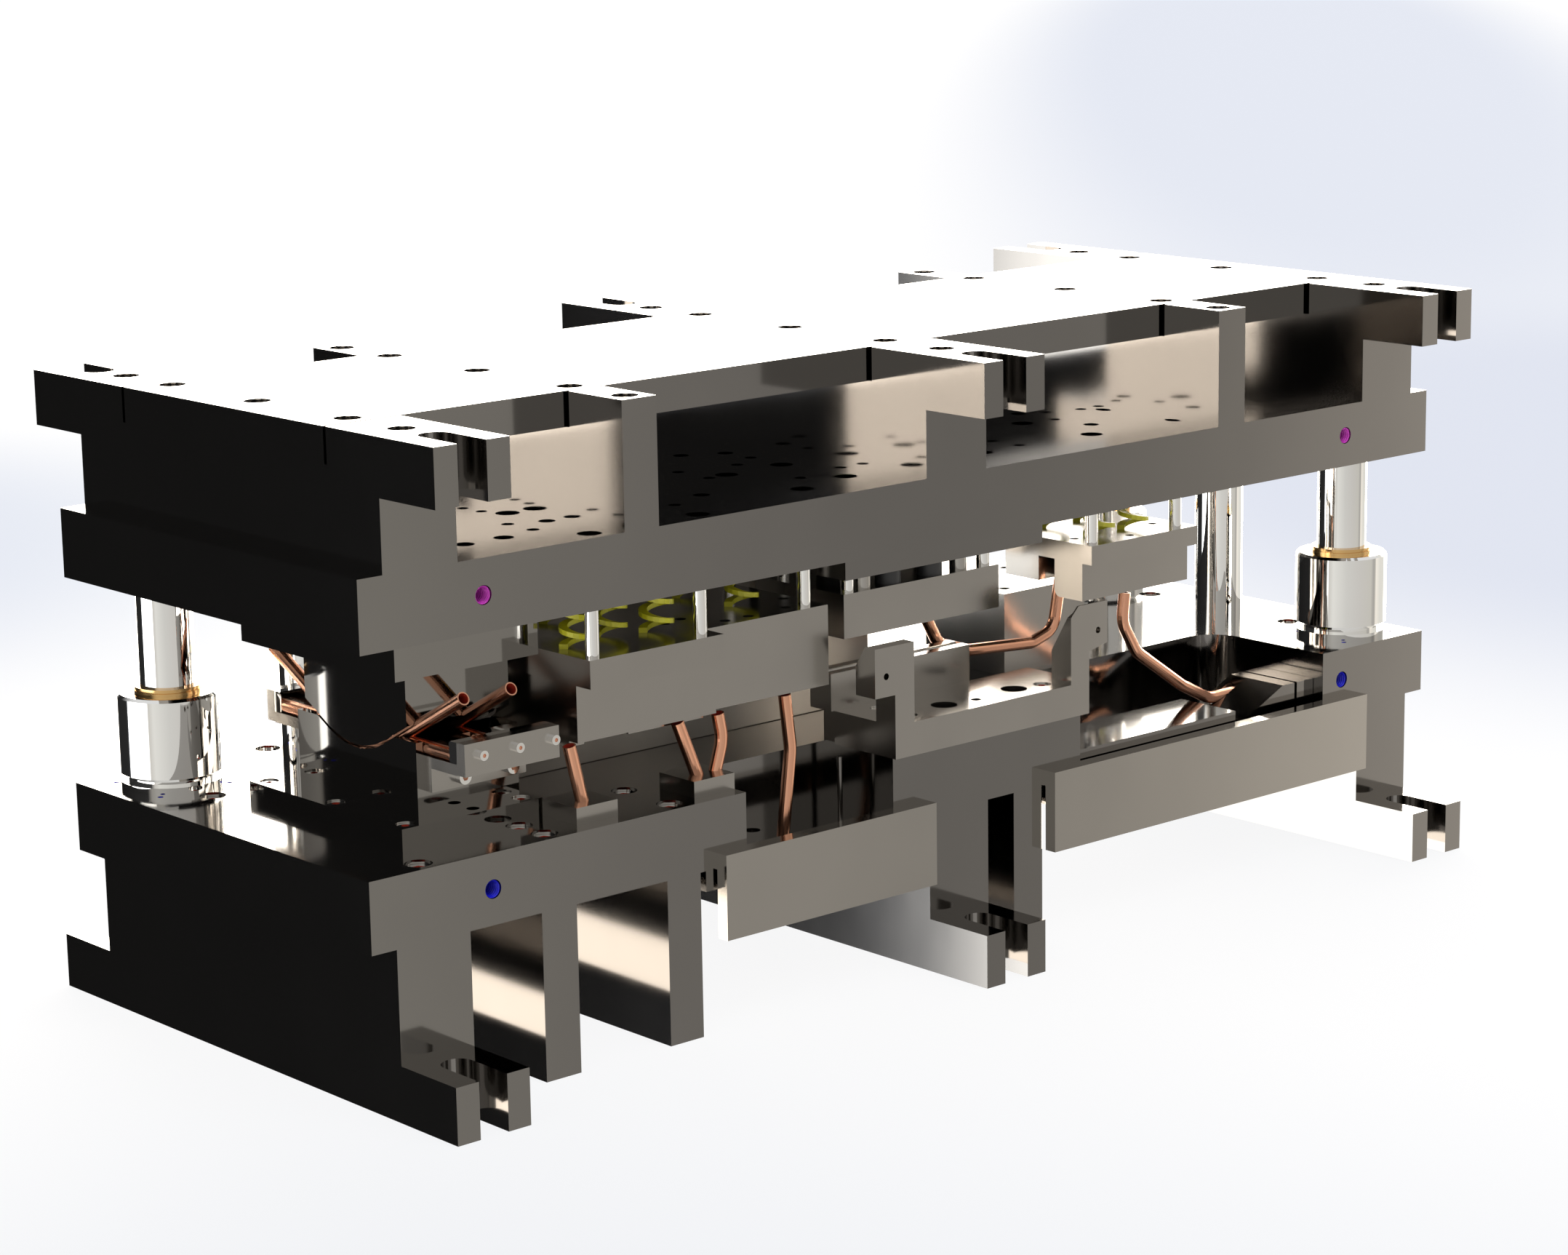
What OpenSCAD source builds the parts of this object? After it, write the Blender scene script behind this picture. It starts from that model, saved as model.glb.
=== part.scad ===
// Tube forming die: a guided die set on risers, with a V bend station, three
// spring-loaded pads, a cradle and the copper tubes that it forms.
// Millimetres. X runs along the shoes, Y from front to back, Z up from the bed.

/* [Die set] */
// Length of both shoes
shoe_l = 1060; // [1040:10:1200]
// Width of both shoes, front to back
shoe_w = 360; // [350:5:420]
// Width over the clamping tabs
span_w = 480; // [470:5:560]
// Thickness of the lower shoe
lower_shoe_t = 50; // [40:1:70]
// Thickness of the upper shoe
upper_shoe_t = 50; // [46:1:70]
// Open height between the shoes when the die is shut
daylight = 150; // [148:1:160]
// Lift of the upper die when the press opens
open_stroke = 100; // [40:5:110]

/* [Risers] */
// Height of the risers under the lower shoe
low_riser_h = 120; // [90:5:200]
// Height of the risers over the upper shoe
up_riser_h = 90; // [70:5:160]
// Thickness of the three clamped risers
riser_t = 60; // [50:2:80]
// Distance of the outer risers from the middle
riser_x = 480; // [470:1:490]
// Thickness of the plain risers
narrow_t = 30; // [24:1:40]
// Distance of the plain upper risers from the middle
narrow_up_x = 295; // [280:1:310]
// Thickness of the clamping tabs and feet
tab_t = 40; // [30:1:50]
// Thickness of the long top beam
beam_t = 25; // [20:1:35]
// Width of the long top beam
beam_w = 240; // [220:5:260]
// Width of a clamping slot
slot_w = 23; // [18:1:28]
// Depth of a clamping slot from the tab's end
slot_d = 49.5; // [40:0.5:55]

/* [Guides] */
// Diameter of the guide posts and stop columns
post_d = 40; // [32:1:44]
// Distance of the guide posts from the middle, front to back
post_y = 135; // [125:1:137]
// Diameter of a guide bush's body
bush_d = 74; // [70:1:78]
// Height of a guide bush over the lower shoe
bush_h = 68.5; // [50:0.5:80]
// Height of the bronze liner that shows over a bush
liner_rise = 4.5; // [3:0.5:8]

/* [Bend station] */
// Angle of the bend station's wings over the level
bend_angle = 28.4; // [20:0.2:30]
// Radius of the bend along the tube's centre
bend_r = 69; // [50:1:80]
// Height of the bent tube's lowest centre over the lower shoe
bend_low = 48; // [46:0.5:52]
// Length of the bend die block, front to back
bend_block_l = 140; // [130:2:150]
// Width of the bend die block
bend_block_w = 86; // [80:1:90]
// Height of the bend die block's flat top over the lower shoe
bend_block_top = 62.5; // [60:0.5:64]
// Thickness of the bend station's base plate
base_plate_t = 12; // [8:1:16]
// Thickness of the bend punch's backing plate
punch_plate_t = 37; // [30:1:40]
// Distance between the two tubes in the bend station
tube_pitch = 40; // [36:1:44]

/* [Tubes] */
// Outer diameter of the copper tubes
tube_d = 9.5; // [8:0.1:10]
// Wall of the copper tubes
tube_wall = 0.9; // [0.7:0.1:1.4]

/* [Pads] */
// Free space over the pads, where their springs stand
pad_drop = 35; // [30:1:40]
// Travel of the left and right pads
pad_travel = 10; // [4:1:12]
// Travel of the middle pad
mid_travel = 8; // [3:1:9]
// Thickness of the left pad's slab
left_slab_t = 20; // [16:1:24]
// Thickness of the left pad's blocks
left_block_t = 40.5; // [36:0.5:42]
// Thickness of the middle pad
mid_pad_t = 33; // [28:1:36]
// Thickness of the right pad's slab
right_slab_t = 15; // [12:1:18]
// Thickness of the right pad's block
right_block_t = 30; // [26:1:32]
// Diameter of the shoulder bolts
shoulder_d = 10; // [8:0.5:11]
// Outer diameter of the pad springs
spring_d = 25; // [22:1:26]

/* [Cradle] */
// Height of the cradle's base
cradle_base_t = 25; // [20:1:28]
// Height of the cradle over the lower shoe
cradle_h = 84.5; // [80:0.5:90]
// Distance from the cradle's front to the middle
cradle_front = 187.5; // [182:0.5:195]
// Inside width between the cradle's two posts
cradle_gap = 161.5; // [150:0.5:165]

/* [Hidden] */
$fn = 48;

// Clearance of a piece in its hole
fit = 0.05;
// Clearance of a screw in its hole
loose = 0.4;
// Overshoot of a cut past the faces that it opens
eps = 1;

z_low = low_riser_h;
z_deck = z_low + lower_shoe_t;
z_roof = z_deck + daylight;
z_pocket = z_roof + upper_shoe_t;
z_top = z_pocket + up_riser_h;

low_narrow_xs = [-375, -265, 72];
beam_play = 3;
beam_l = 2 * riser_x + riser_t;
// Front edge of both shoes: the stations keep their distance from it
front = -shoe_w / 2;

steel = [0.62, 0.6, 0.57];
dark_steel = [0.3, 0.3, 0.3];
bright = [0.85, 0.85, 0.86];
bronze = [0.72, 0.5, 0.25];
copper = [0.74, 0.46, 0.33];
olive = [0.6, 0.58, 0.05];
screw_color = [0.45, 0.1, 0.06];

// Openings through the lower shoe, from its front edge
pit_l_x = [-207, -66];
pit_l_d = 72;
pit_r_x = [128, 407];
pit_r_d = 120.5;
pit_r_corner = 30;

// Side threads for lifting the shoes
lift_x = shoe_l / 2 - 100;
lift_d = 13.3;
lift_deep = 30;

// Socket screws: thread, head, head height, socket
m12 = [12, 18, 12, 10];
m8 = [8, 13, 8, 6];
m6 = [6, 10, 6, 5];
m4 = [4, 7, 4, 3];
shoe_screw_l = 34;
edge_y = shoe_w / 2 - 14;
by_post_y = post_y - 56;
shoe_screw_sites = [[-riser_x, -edge_y], [-riser_x, by_post_y], [low_narrow_xs[0], -edge_y],
  [low_narrow_xs[0], 28 - edge_y], [low_narrow_xs[0], edge_y], [low_narrow_xs[1], -edge_y],
  [low_narrow_xs[1], 50 - edge_y], [low_narrow_xs[1], edge_y], [0, -edge_y], [0, edge_y],
  [low_narrow_xs[2], -edge_y], [low_narrow_xs[2], edge_y], [riser_x, -by_post_y],
  [riser_x, by_post_y]];
top_screw_l = 48;
top_edge = shoe_w / 2 - 15;
beam_edge = beam_w / 2 - 15;
top_ys = [-top_edge, -beam_edge, 0, beam_edge, top_edge];
top_xs = [-riser_x, -narrow_up_x, 0, narrow_up_x, riser_x];
// Depth of the shoe's and the top beam's screws, and of the small ones, under their faces
recess = 3;
sunk = 1;

// Guide posts: three only, so that the upper die goes on one way round
// The left post stands nearer the middle, so the halves go together one way round
offset_post = 4.5;
post_sites = [[-riser_x, post_y - offset_post], [riser_x, post_y], [riser_x, -post_y]];
column_gap = 0.3;
post_r = post_d / 2;
liner_r = post_r + 4.5;
// Length of a post that stays in its bush when the die is open
post_hold = 38.5;
post_low = z_deck + bush_h - open_stroke - post_hold;
flange_r = bush_d / 2;
flange_t = 5;
neck_r = bush_d / 2 - 5.5;
neck_t = 3;
bush_thread_x = 29;
bush_thread_y = 29;
bush_thread_d = 4.2;
bush_thread_deep = 14;

// Bend station
bend_x = -392;
bend_y = front + 145;
column_sites = [[riser_x, 0], [bend_x + 15, bend_y + 143]];
plate_x = [bend_x - 72, bend_x + 47];
plate_y = [bend_y - 91, bend_y + 91];
plate_screw_l = 22;
plate_screw_xs = [plate_x[0] + 10, plate_x[1] - 11];
plate_screw_y = 81;
plate_screw_sites = [[plate_screw_xs[0], bend_y - plate_screw_y], [plate_screw_xs[0], bend_y],
  [plate_screw_xs[0], bend_y + plate_screw_y], [plate_screw_xs[1], bend_y - plate_screw_y],
  [plate_screw_xs[1], bend_y + plate_screw_y]];
plate_hole = [-397, bend_y - 80.6, 9];
block_y = [bend_y - bend_block_l / 2, bend_y + bend_block_l / 2];
punch_y = [bend_y - 60, bend_y + 60];
z_bend = z_deck + bend_low;
z_corner = z_bend - bend_r * (1 / cos(bend_angle) - 1);
bend_reach = 111.4;
bend_tube_xs = [bend_x - 12.5 - tube_pitch / 2, bend_x - 12.5 + tube_pitch / 2];
face_gap = 1.5;
groove_r = tube_d / 2 + 0.3;
z_branch = z_deck + 58;
bracket_x = [bend_x - 37, bend_x + 43];
flange_top = z_branch - tube_d / 2;
stop_t = 8.4;
stop_top = z_deck + 68.5;
bracket_t = 9;
leg_low = z_deck + 28.5;
flange_low = flange_top - 7.8;
outer_low = z_deck + 46;
bracket_reach = 116.7;
branch_reach = bracket_reach - bracket_t - stop_t;
bracket_screw_xs = [bracket_x[0] + 13.5, bracket_x[0] + 44, bracket_x[1] - 5.5];
bracket_screw_z = z_deck + 59.5;
leg_screw_xs = [bracket_x[0] + 24, bracket_x[1] - 15];
leg_screw_z = z_deck + 36;

// Tubes that stand in the insert blocks and in the left opening
tube_r = tube_d / 2;
insert_h = 12;
insert_sites = [[-347, -311, front + 14], [-244, -207, front + 12]];
insert_l = 38;
stand_y = front + 28;
z_left_pad = z_roof - pad_drop;
z_left_block = z_left_pad - left_slab_t;
z_left_low = z_left_block - left_block_t;
tube_top = z_left_low - 2;
pit_y = front + 32;

// Shoulder bolts of the pads
head_h = 8;
// Depth of a bolt's head under the pocket's floor with its pad pushed up
head_under = 7;
seat_z = z_pocket - head_h - pad_travel - head_under;
head_d = shoulder_d + 6;
stud_d = shoulder_d - 2;
stud_l = 12;
// Left pad
left_x = [-339, -104];
left_step_x = -220;
left_front = front + 5;
left_back = front + 140;
left_step_y = front + 26;
left_split = -214;
left_split_gap = 0.2;
left_block_y = [front + 22, front + 120];
left_step_block_y = [left_step_y, front + 130];
// How much higher the right-hand block of the left pad ends than the left-hand one
left_step = 1.5;
shim_t = 5;
shim_y = [front + 34, front + 110];
shim_notch_x = [-323, -284];
shim_notch_l = 26;
left_bolts = [[left_x[0] + 10, left_front + 9.5], [-233.5, left_front + 9.5],
  [left_x[1] - 14.6, left_step_y + 9.5], [left_x[0] + 17, left_back - 26],
  [left_x[1] - 14.6, left_back - 22]];
left_springs = [[-322, front + 40], [-282, front + 54], [-250, front + 42], [-152, front + 65],
  [-282, front + 114], [-160, front + 114]];
left_holes = [[-210, front + 64], [-228, front + 60], [-191.5, front + 37], [-170, front + 37],
  [-113, front + 64.5], [-132, front + 40]];
pad_hole_d = 8;
pad_hole_deep = 15;

// Middle pad and its spacer on the upper shoe
mid_x = [-74, 83.5];
mid_y = [front + 42, front + 140];
mid_bolts = [for (y = [mid_y[0] + 8.5, mid_y[1] - 19.4], x = [mid_x[0] + 11, mid_x[1] - 8.5]) [x, y]];
spacer_x = [-72, 130];
// Free space over the middle pad and its sleeves with the pad pushed up
mid_play = 2;
spacer_t = pad_drop - mid_travel - mid_play;
sleeve_h = pad_drop - mid_travel - mid_play;
sleeve_sites = [[-47, mid_y[0] + 9.5], [50, mid_y[0] + 9.5]];
sleeve_d = 13;
mid_springs = [[-20, mid_y[0] + 11], [22, mid_y[0] + 11], [-20, mid_y[1] - 22], [40, mid_y[1] - 22]];
mid_spring_d = 19;

// Right pad
right_x = [180, 299];
right_y = [front + 38.5, front + 135];
right_block_x = [181.5, 300];
right_block_y = [front + 50, front + 134];
right_bolts = [for (y = [right_y[0] + 9.5, right_y[1] - 12], x = [right_x[0] + 9.5, right_x[1] - 15.5])
  [x, y]];
right_springs = [for (y = [right_y[0] + 25, right_y[1] - 23], x = [214, 252]) [x, y]];
right_holes = [[193, front + 70], [233, front + 49], [280, front + 69]];
right_hole_d = 7;
// Slot in the right pad's block for the middle tube, and the block's lower part behind it
window_y = [front + 80, front + 97.4];
window_x = 206;
right_rear_t = 20;
right_corner_r = 6;

// Cradle
cradle_x = [-70, 130];
cradle_base_l = 65.8;
cradle_back = cradle_base_l - cradle_front;
cradle_leg = [-51, -51 + cradle_gap];
leg_w = 19.5;
head_z = z_deck + 48;
head_over = 19.5;
head_slope = 4;
head_bevel = 8;
cradle_arm_t = 20.5;
// Slopes on the back of the posts: start height over the shoe, end height and thickness left
left_slope = [69.5, cradle_h, 11];
right_slope = [49, 80, 1.5];
cradle_screw_l = 34;
cradle_screw_sites = [[-40, front + 11], [98, front + 11], [-40, front + 42]];
access_d = 20;
access_sites = [[0, front + 15], [72.4, front + 15]];
small_hole = [28.5, front + 10.5, 8];
post_hole_d = 5;
post_hole_xs = [cradle_leg[0] - 27.5, cradle_leg[1] + 29];
post_hole_z = head_z + 15;

// Die block behind the cradle; its left end overhangs the left opening
center_block_x = [-73, 68];
center_block_h = 53;
center_block_foot_x = -60;
center_block_low = 25;
center_groove_r = 3.5;

// Right die block, anvil and wedge
die_block_x = [172, 262];
die_block_y = [front + 126, front + 216];
die_block_hole = [16, 9, 30];
die_block_h = 66;
anvil_x = [129, 305];
anvil_y = [front + 2, front + 60];
anvil_t = 20;
wedge_x = [330, 384];
wedge_flat = 14;
wedge_y = [front + 10, front + 66];
wedge_low = 10;
wedge_h = 28.5;
wedge_gap = 3;
backer_t = 19.5;
right_tube_y = front + 55;
center_tube_y = front + 86;
center_block_l = center_tube_y - tube_d / 2 - cradle_back;

// Plain holes that show in the pocket floors of the upper shoe: place from its front edge, diameter
pocket_holes = [[-331, 132, 8], [-347, 81, 9], [-321, 71, 12], [-347, 53, 9], [-378, 45, 14],
  [-411, 45, 14], [-333, 151, 8], [-89, 205, 12], [-59, 189, 12], [-136, 117, 9], [-184, 69, 12],
  [-222, 53, 9], [-90, 69, 9], [-41, 80, 9], [-86, 144, 9], [-136, 152, 9], [-59, 160, 9],
  [270, 138, 9], [220, 118, 9], [222, 80, 12], [117, 53, 9], [220, 158, 12], [240, 147, 9],
  [116, 81, 9]];

function unit(v) = v / norm(v);

// Centre line of a tube: straight runs with round bends of radius r at the inner points
function heading(p, i) = unit(p[i + 1] - p[i]);
function turn(p, i) = acos(min(1, heading(p, i - 1) * heading(p, i)));
function setback(p, i, r) = r * tan(turn(p, i) / 2);
function arc_center(p, i, r) =
  p[i] + unit(heading(p, i) - heading(p, i - 1)) * r / cos(turn(p, i) / 2);
function arc_point(p, i, r, t) =
  let (c = arc_center(p, i, r), a = p[i] - heading(p, i - 1) * setback(p, i, r) - c,
    s = unit(heading(p, i - 1)), w = turn(p, i) * t)
  c + a * cos(w) + s * r * sin(w);
bend_steps = 6;
function tube_line(p, r) = [p[0],
  for (i = [1 : 1 : len(p) - 2], k = [0 : bend_steps]) arc_point(p, i, r, k / bend_steps),
  p[len(p) - 1]];

// One ring of points round a centre line, square to it; side is the plane's normal
function ring(q, i, side, r, n) =
  let (d = unit(q[min(i + 1, len(q) - 1)] - q[max(i - 1, 0)]), u = unit(side - d * (side * d)),
    v = cross(d, u))
  [for (k = [0 : n - 1]) q[i] + (u * cos(360 * k / n) + v * sin(360 * k / n)) * r];

// Solid rod along a centre line
module rod(q, r, side, n = 20) {
  m = len(q);
  pts = [for (i = [0 : m - 1], p = ring(q, i, side, r, n)) p];
  quads = [for (i = [0 : m - 2], k = [0 : n - 1])
    [i * n + k, i * n + (k + 1) % n, (i + 1) * n + (k + 1) % n, (i + 1) * n + k]];
  caps = [[for (k = [n - 1 : -1 : 0]) k], [for (k = [0 : n - 1]) (m - 1) * n + k]];
  polyhedron(pts, concat([for (f = quads) [f[3], f[2], f[1], f[0]]],
    [for (f = caps) [for (k = [len(f) - 1 : -1 : 0]) f[k]]]), convexity = 6);
}

// Bent copper tube, bored for a short way at each open end
module bent_tube(path, r, side, bore_l = 24) {
  q = tube_line(path, r);
  last = len(path) - 1;
  difference() {
    rod(q, tube_r, side);
    end_bore(path[0], heading(path, 0), bore_l);
    end_bore(path[last], -heading(path, last - 1), bore_l);
  }
}

module end_bore(p, d, l) {
  u = unit(cross(d, abs(d[0]) < 0.9 ? [1, 0, 0] : [0, 1, 0]));
  v = cross(d, u);
  multmatrix([[u[0], v[0], d[0], p[0]], [u[1], v[1], d[1], p[1]], [u[2], v[2], d[2], p[2]],
    [0, 0, 0, 1]])
    translate([0, 0, -eps]) cylinder(h = l + eps, d = tube_d - 2 * tube_wall);
}

module at(sites) {
  for (s = sites) translate([s[0], s[1], 0]) children();
}

module box(x, y, z) {
  translate([x[0], y[0], z[0]]) cube([x[1] - x[0], y[1] - y[0], z[1] - z[0]]);
}

// Hole along Z from z0 to z1
module drill(d, z0, z1) {
  translate([0, 0, z0]) cylinder(h = z1 - z0, d = d);
}

// Socket head screw with the top of its head at z
module socket_screw(kind, l, z) {
  difference() {
    union() {
      drill(kind[1], z - kind[2], z);
      drill(kind[0], z - kind[2] - l, z - kind[2] + eps);
    }
    translate([0, 0, z - kind[2] / 2]) cylinder(h = kind[2], d = kind[3], $fn = 6);
  }
}

// Room for a socket head screw: the head's recess and the shank's hole
module screw_room(kind, l, z, top) {
  drill(kind[1] + 2 * loose, z - kind[2], top + eps);
  drill(kind[0] + 2 * loose, z - kind[2] - l - loose, z - kind[2] + eps);
}

// Clamping slot, open at the tab's end, with a round root
module clamp_slot(x, side, z0, z1) {
  root = span_w / 2 - slot_d + slot_w / 2;
  translate([x, 0, z0 - eps]) linear_extrude(z1 - z0 + 2 * eps) {
    translate([0, side * root]) circle(d = slot_w);
    translate([-slot_w / 2, side > 0 ? root : -span_w / 2 - eps])
      square([slot_w, span_w / 2 - root + eps]);
  }
}

module clamp_slots(x, z0, z1) {
  for (side = [-1, 1]) clamp_slot(x, side, z0, z1);
}

// Threaded holes in the long edges of a shoe, for lifting it
module lift_holes(z) {
  for (x = [-lift_x, lift_x], side = [-1, 1])
    translate([x, side * (shoe_w / 2 - lift_deep), z]) rotate([-90 * side, 0, 0])
      cylinder(h = lift_deep + eps, d = lift_d);
}

module plate_screw_rooms() {
  top = z_deck + base_plate_t;
  at(plate_screw_sites) screw_room(m8, plate_screw_l + 1, top - sunk, top);
}

module cradle_screw_rooms() {
  top = z_deck + cradle_base_t;
  at(cradle_screw_sites) screw_room(m8, cradle_screw_l + 1, top - sunk, top);
}

// Lower die set
module lower_shoe() {
  color(steel) difference() {
    box([-shoe_l / 2, shoe_l / 2], [-shoe_w / 2, shoe_w / 2], [z_low, z_deck]);
    box(pit_l_x, [front - eps, front + pit_l_d], [z_low - eps, z_deck + eps]);
    translate([0, 0, z_low - eps]) linear_extrude(lower_shoe_t + 2 * eps) right_pit_outline();
    at(post_sites) drill(post_d + 2, z_low - eps, z_deck + eps);
    bush_threads();
    at(shoe_screw_sites) screw_room(m12, shoe_screw_l + z_deck - z_low, z_deck - recess, z_deck);
    plate_screw_rooms();
    cradle_screw_rooms();
    lift_holes(z_low + lower_shoe_t / 2);
  }
}

module right_pit_outline() {
  back = front + pit_r_d;
  translate([pit_r_x[0], front - eps])
    square([pit_r_x[1] - pit_r_x[0], pit_r_d + eps - pit_r_corner]);
  translate([pit_r_x[0] + pit_r_corner, front - eps])
    square([pit_r_x[1] - pit_r_x[0] - 2 * pit_r_corner, pit_r_d + eps]);
  for (x = [pit_r_x[0] + pit_r_corner, pit_r_x[1] - pit_r_corner])
    translate([x, back - pit_r_corner]) circle(pit_r_corner);
}

// Four tapped holes round each bush
module bush_threads() {
  for (s = post_sites, x = [-bush_thread_x, bush_thread_x], y = [-bush_thread_y, bush_thread_y])
    translate([s[0] + x, s[1] + y, 0]) drill(bush_thread_d, z_deck - bush_thread_deep, z_deck + eps);
}

// Riser under the lower shoe with a slotted foot at each end
module foot_riser(x) {
  color(steel) difference() {
    union() {
      box([x - riser_t / 2, x + riser_t / 2], [-shoe_w / 2, shoe_w / 2], [0, z_low]);
      box([x - riser_t / 2, x + riser_t / 2], [-span_w / 2, span_w / 2], [0, tab_t]);
    }
    clamp_slots(x, 0, tab_t);
    riser_screw_holes();
    at(post_sites) drill(post_d + 2, post_low - 6, z_low + eps);
  }
}

module riser_screw_holes() {
  at(shoe_screw_sites)
    drill(m12[0] + 2 * loose, z_deck - recess - m12[2] - shoe_screw_l - lower_shoe_t, z_low + eps);
}

module lower_riser_left() foot_riser(-riser_x);
module lower_riser_center() foot_riser(0);
module lower_riser_right() foot_riser(riser_x);

module lower_parallels() {
  color(steel) difference() {
    for (x = low_narrow_xs)
      box([x - narrow_t / 2, x + narrow_t / 2], [-shoe_w / 2, shoe_w / 2], [0, z_low]);
    riser_screw_holes();
  }
}

// Bar across the front of an opening: its top lip lies on the shoe, the rest stands clear
bar_h = 62;
bar_lap = 12;
bar_t = 12.25;
bar_relief = 2.25;
module bridge_bar(x) {
  color(steel) difference() {
    box(x, [front - bar_t, front], [z_low + bar_lap - bar_h, z_low + bar_lap]);
    box([x[0] - eps, x[1] + eps], [front - bar_relief, front + eps],
      [z_low + bar_lap - bar_h - eps, z_low]);
  }
}
module bridge_bar_left() bridge_bar([pit_l_x[0] - 29.5, pit_l_x[1] + 31.7]);
module bridge_bar_right() bridge_bar([pit_r_x[0] - 39.5, pit_r_x[1] + 40.5]);

floor_t = 15;
module floor_plate_left() {
  color(steel) difference() {
    box([pit_l_x[0] - 38, pit_l_x[1] + 33], [front, front + 120], [z_low - floor_t, z_low]);
    at([drain_site]) drill(drain_d, z_low - floor_t - eps, z_low + eps);
    at([gauge_site]) drill(gauge_d + 2 * fit, z_low - gauge_root, z_low + eps);
  }
}
drain_site = [-151, front + 59];
drain_d = 12;
gauge_site = [-82, front + 40];
gauge_d = 4;
gauge_l = 46;
gauge_root = 8;

module floor_plate_right() {
  color(steel)
    box([pit_r_x[0] - 38, pit_r_x[1] + 38], [front, front + 140], [z_low - floor_t, z_low]);
}

// Guides: flanged steel bushes with bronze liners
module bush() {
  color(bright) rotate_extrude($fn = 96) polygon([[liner_r + fit, z_deck], [flange_r, z_deck],
    [flange_r, z_deck + flange_t], [neck_r, z_deck + flange_t],
    [neck_r, z_deck + flange_t + neck_t], [bush_d / 2, z_deck + flange_t + 2 * neck_t],
    [bush_d / 2, z_deck + bush_h - 2], [bush_d / 2 - 2, z_deck + bush_h],
    [liner_r + fit, z_deck + bush_h]]);
}
module guide_bushes() at(post_sites) bush();

module liner() {
  top = z_deck + bush_h + liner_rise;
  color(bronze) rotate_extrude($fn = 96) polygon([[post_r + fit, z_deck], [liner_r, z_deck],
    [liner_r, top - 2.8], [liner_r - 1.2, top - 2.8], [liner_r - 1.2, top - 2],
    [liner_r - 0.4, top - 2], [liner_r - 0.4, top], [post_r + fit, top]]);
}
module bush_liners() at(post_sites) liner();

module stop_columns() {
  color(bright) at(column_sites) drill(post_d, z_deck, z_roof - column_gap);
}

module shoe_screws() {
  color(screw_color) at(shoe_screw_sites)
    socket_screw(m12, shoe_screw_l + lower_shoe_t, z_deck - recess);
}

// Bend station, lower half
module bend_base_plate() {
  color(steel) difference() {
    box(plate_x, plate_y, [z_deck, z_deck + base_plate_t]);
    plate_screw_rooms();
    at([plate_hole]) drill(plate_hole[2], z_deck - eps, z_deck + base_plate_t + eps);
  }
}
module base_plate_screws() {
  color(screw_color) at(plate_screw_sites)
    socket_screw(m8, plate_screw_l, z_deck + base_plate_t - sunk);
}

function bend_path(x, reach, lift = 0) = [
  [x, bend_y - reach, z_corner + reach * tan(bend_angle) + lift],
  [x, bend_y, z_corner + lift],
  [x, bend_y + reach, z_corner + reach * tan(bend_angle) + lift]];

// V shape with a round bottom, as the side view outline of the valley or of the punch's nose
module bend_outline(offset_z, reach, top) {
  line = tube_line(bend_path(0, reach, offset_z), bend_r);
  polygon(concat([for (p = line) [p[1], p[2]]], [[bend_y + reach, top], [bend_y - reach, top]]));
}

// Extrudes a side view outline, drawn in Y and Z, along X
module along_x(x) {
  translate([x[0], 0, 0]) rotate([90, 0, 90]) linear_extrude(x[1] - x[0]) children();
}

module tube_groove(x) {
  rod(tube_line(bend_path(x, 150), bend_r), groove_r, [1, 0, 0], 16);
}

block_x = [bend_x - bend_block_w / 2, bend_x + bend_block_w / 2];
module bend_die_block() {
  top = z_deck + bend_block_top;
  color(dark_steel) difference() {
    box(block_x, block_y, [z_deck + base_plate_t, top]);
    along_x([block_x[0] - eps, block_x[1] + eps])
      bend_outline(-face_gap / 2, 100, z_roof);
    for (x = bend_tube_xs) tube_groove(x);
    for (x = bend_tube_xs) {
      translate([x, block_y[0] - eps, z_branch]) rotate([-90, 0, 0])
        cylinder(h = bend_block_l + 2 * eps, r = groove_r);
      box([x - groove_r, x + groove_r], [block_y[0] - eps, block_y[1] + eps], [z_branch, top + eps]);
    }
    leg_screw_holes();
  }
}

module leg_screw_holes() {
  for (side = [-1, 1], x = leg_screw_xs)
    translate([x, bend_y + side * (bend_block_l / 2 - 16), leg_screw_z]) rotate([-90 * side, 0, 0])
      cylinder(h = 40, d = m6[0] + 2 * loose);
}

// Bracket outline for the front side: leg on the die block, shelf and outer leg
module bracket_outline(side) {
  near = bend_block_l / 2;
  pts = [[near, leg_low], [near + 8.5, leg_low], [near + 8.5, flange_low],
    [bracket_reach - bracket_t, flange_low], [bracket_reach - bracket_t, outer_low],
    [bracket_reach, outer_low], [bracket_reach, stop_top], [bracket_reach - bracket_t, stop_top],
    [bracket_reach - bracket_t, flange_top], [near, flange_top]];
  polygon([for (p = pts) [bend_y + side * p[0], p[1]]]);
}

module bracket(side) {
  color(steel) difference() {
    along_x(bracket_x) bracket_outline(side);
    for (x = leg_screw_xs)
      translate([x, bend_y + side * (bend_block_l / 2 - 1), leg_screw_z]) rotate([-90 * side, 0, 0])
        cylinder(h = 30, d = m6[0] + 2 * loose);
    for (x = bracket_screw_xs)
      translate([x, bend_y + side * (bracket_reach - bracket_t - 1), bracket_screw_z])
        rotate([-90 * side, 0, 0]) cylinder(h = 30, d = m4[0] + 2 * loose);
  }
}
module bend_bracket_front() bracket(-1);
module bend_bracket_rear() bracket(1);

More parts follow.
